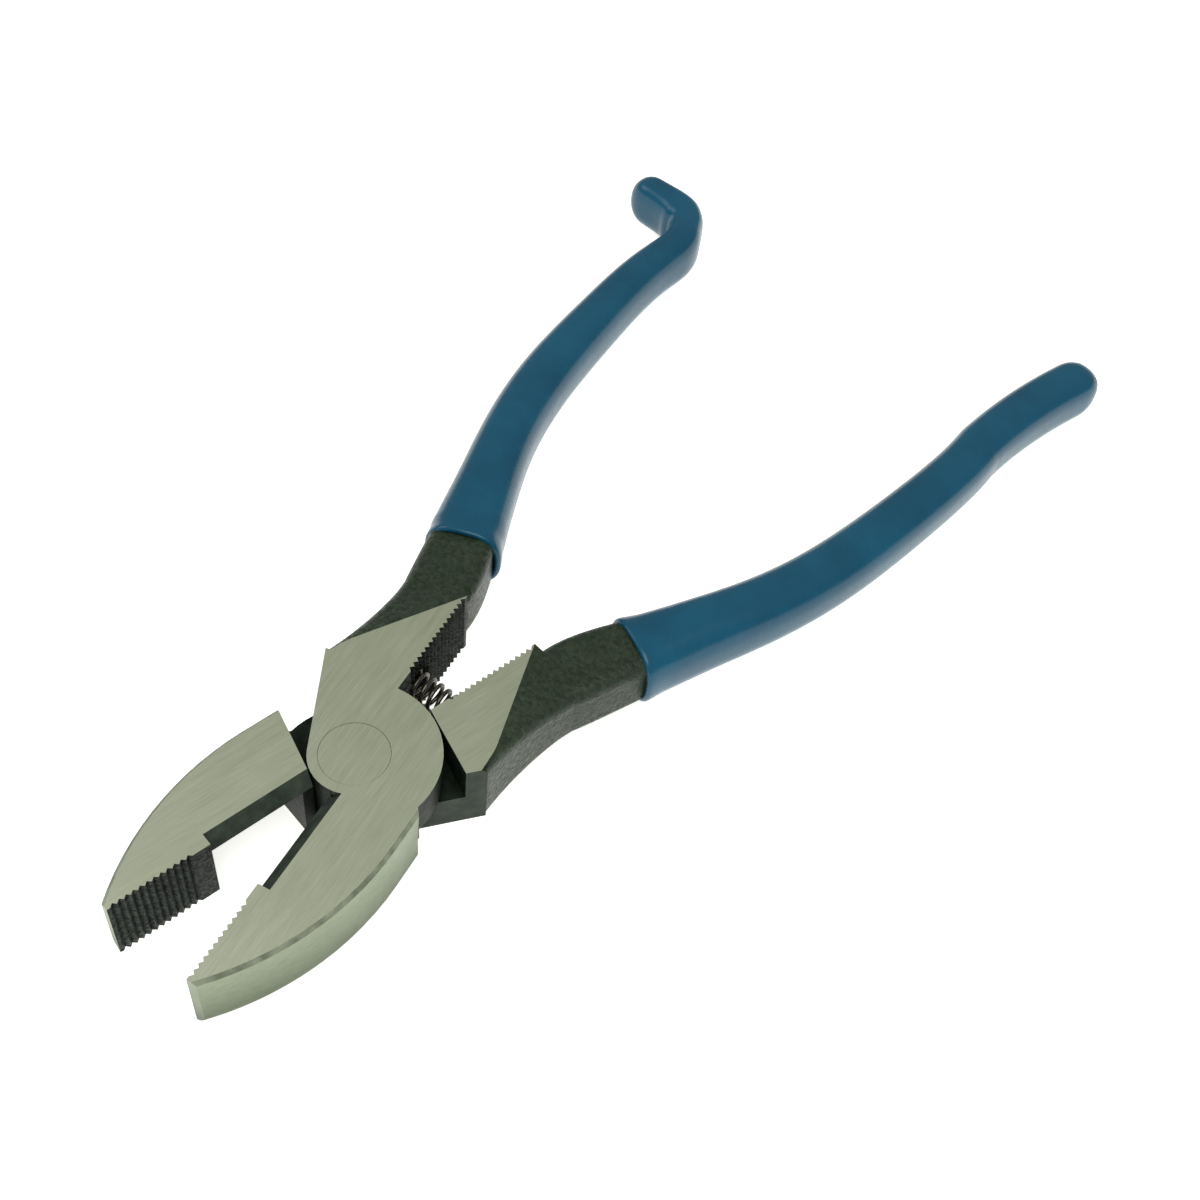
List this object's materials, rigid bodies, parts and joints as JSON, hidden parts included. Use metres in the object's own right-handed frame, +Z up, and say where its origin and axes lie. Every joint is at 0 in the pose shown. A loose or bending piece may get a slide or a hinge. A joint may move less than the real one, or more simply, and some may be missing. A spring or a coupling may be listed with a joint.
{
  "type": "lineman pliers",
  "caption": "Side-cutting lineman pliers with a return spring, dipped grips and one handle bent into a hook",
  "frame": {"origin": "on the rivet's axis, on the flat bottom face that the tool lies on", "axes": "+Z up through the thickness, along the rivet's axis; -Y towards the nose, midway between the open jaws; +X towards the straight handle"},
  "size_m": [0.1183, 0.2303, 0.0159],
  "materials": {
    "forged_steel": "ground faces over black forging",
    "rivet_steel": "ground flush",
    "spring_wire": "oil-tempered wire",
    "dipped_grip": "glossy dipped vinyl"
  },
  "bodies": {
    "lower_body": {"lower_half": "forged_steel", "pivot_rivet": "rivet_steel", "return_spring": "spring_wire", "straight_grip": "dipped_grip"},
    "upper_body": {"upper_half": "forged_steel", "hooked_grip": "dipped_grip"}
  },
  "joints": [
    {"name": "jaw_hinge", "type": "hinge", "parent": "lower_body", "child": "upper_body", "pos_m": [0, 0, 0.00795], "axis": [0, 0, 1], "range_deg": [-21.5, 8], "stiffness_Nm_per_rad": 0.7, "deforming": ["return_spring"]}
  ]
}
